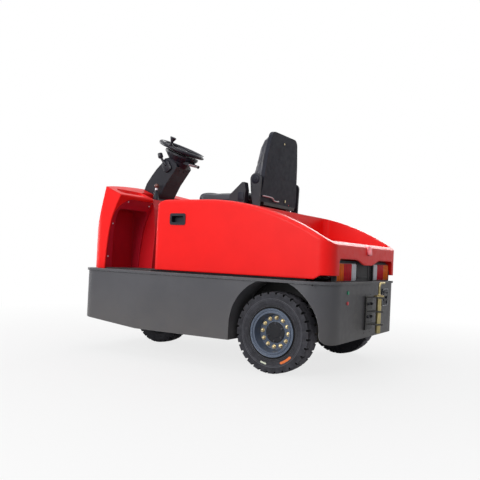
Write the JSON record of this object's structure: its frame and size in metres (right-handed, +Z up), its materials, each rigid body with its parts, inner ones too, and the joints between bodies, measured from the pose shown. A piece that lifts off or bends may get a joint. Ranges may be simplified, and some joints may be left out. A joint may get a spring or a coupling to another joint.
{
  "type": "airport baggage tug",
  "caption": "Low three-wheel electric baggage tug with open deck, red tilting hood, load tray, driver seat and rear pin hitch.",
  "frame": {"origin": "on the floor, under the middle of the overall length and width", "axes": "+X forward, +Y to the driver's left, +Z up"},
  "size_m": [1.7468, 1.106, 1.3385],
  "materials": {
    "hull_grey": "satin powder coat",
    "body_red": "gloss moulded shell",
    "liner_red": "gloss moulded liner",
    "frame_black": "satin black",
    "trim_black": "grained",
    "seat_black": "artificial leather",
    "rubber_black": "ribbed mat",
    "tyre_black": "moulded rubber",
    "rim_blue_grey": "satin",
    "battery_grey": "satin",
    "axle_iron": "painted",
    "motor_grey": "cast",
    "lens_amber": "lens",
    "lens_red": "lens",
    "lens_clear": "lens",
    "panel_grey": "matt",
    "button_green": "gloss",
    "button_red": "gloss",
    "pin_zinc": "yellow zinc",
    "jaw_black": "satin black"
  },
  "bodies": {
    "chassis": {"skirt": "hull_grey", "deck": "hull_grey", "floor_mat": "rubber_black", "frame": "frame_black", "battery": "battery_grey", "rear_axle": "axle_iron", "drive_motor": "motor_grey", "lamp_panel": "panel_grey", "lens_amber": "lens_amber", "lens_red": "lens_red", "lens_clear": "lens_clear", "jog_green": "button_green", "jog_red": "button_red", "rear_socket": "trim_black", "hitch_jaw": "jaw_black", "slew_ring": "frame_black", "cowl": "body_red", "liner": "liner_red", "pedestal": "body_red", "headlamps": "lens_clear", "column": "trim_black", "pod": "trim_black", "switch_pad": "trim_black", "direction_lever": "trim_black", "brake_lever": "trim_black", "pedals": "rubber_black", "hood_hinges": "frame_black"},
    "hood_body": {"hood": "body_red", "hood_handles": "trim_black", "hood_latch": "body_red", "seat_base": "frame_black", "cushion": "seat_black", "back_pad": "seat_black", "back_shell": "trim_black", "seat_arms": "trim_black", "belt_reels": "trim_black"},
    "wheel_of_steering": {"steering_wheel": "trim_black"},
    "steer_fork": {"fork": "frame_black"},
    "front_wheel": {"front_tyre": "tyre_black", "front_rim": "rim_blue_grey"},
    "rear_wheel_left": {"tyre_left": "tyre_black", "rim_left": "rim_blue_grey"},
    "rear_wheel_right": {"tyre_right": "tyre_black", "rim_right": "rim_blue_grey"},
    "tow_pin": {"hitch_pin": "pin_zinc"}
  },
  "joints": [
    {"name": "steer", "type": "hinge", "parent": "chassis", "child": "steer_fork", "pos_m": [0.6385, 0, 0.45], "axis": [0, 0, 1], "range_deg": [-75, 75]},
    {"name": "steering_wheel_turn", "type": "hinge", "parent": "chassis", "child": "wheel_of_steering", "pos_m": [0.5505, 0, 1.27], "axis": [-0.3907, 0, 0.9205], "range_deg": [-360, 360]},
    {"name": "front_wheel_spin", "type": "hinge", "parent": "steer_fork", "child": "front_wheel", "pos_m": [0.6385, 0, 0.193], "axis": [0, 1, 0], "continuous": true},
    {"name": "rear_left_spin", "type": "hinge", "parent": "chassis", "child": "rear_wheel_left", "pos_m": [-0.4545, 0.438, 0.2075], "axis": [0, 1, 0], "continuous": true},
    {"name": "rear_right_spin", "type": "hinge", "parent": "chassis", "child": "rear_wheel_right", "pos_m": [-0.4545, -0.438, 0.2075], "axis": [0, 1, 0], "continuous": true},
    {"name": "hood_tilt", "type": "hinge", "parent": "chassis", "child": "hood_body", "pos_m": [-0.7445, 0, 0.532], "axis": [0, -1, 0], "range_deg": [0, 45]},
    {"name": "pin_lift", "type": "slide", "parent": "chassis", "child": "tow_pin", "axis": [0, 0, -1], "range_m": [-0.19, 0]}
  ],
  "couplings": [
    {"joint": "steering_wheel_turn", "follows": "steer", "ratio": 4.8}
  ]
}
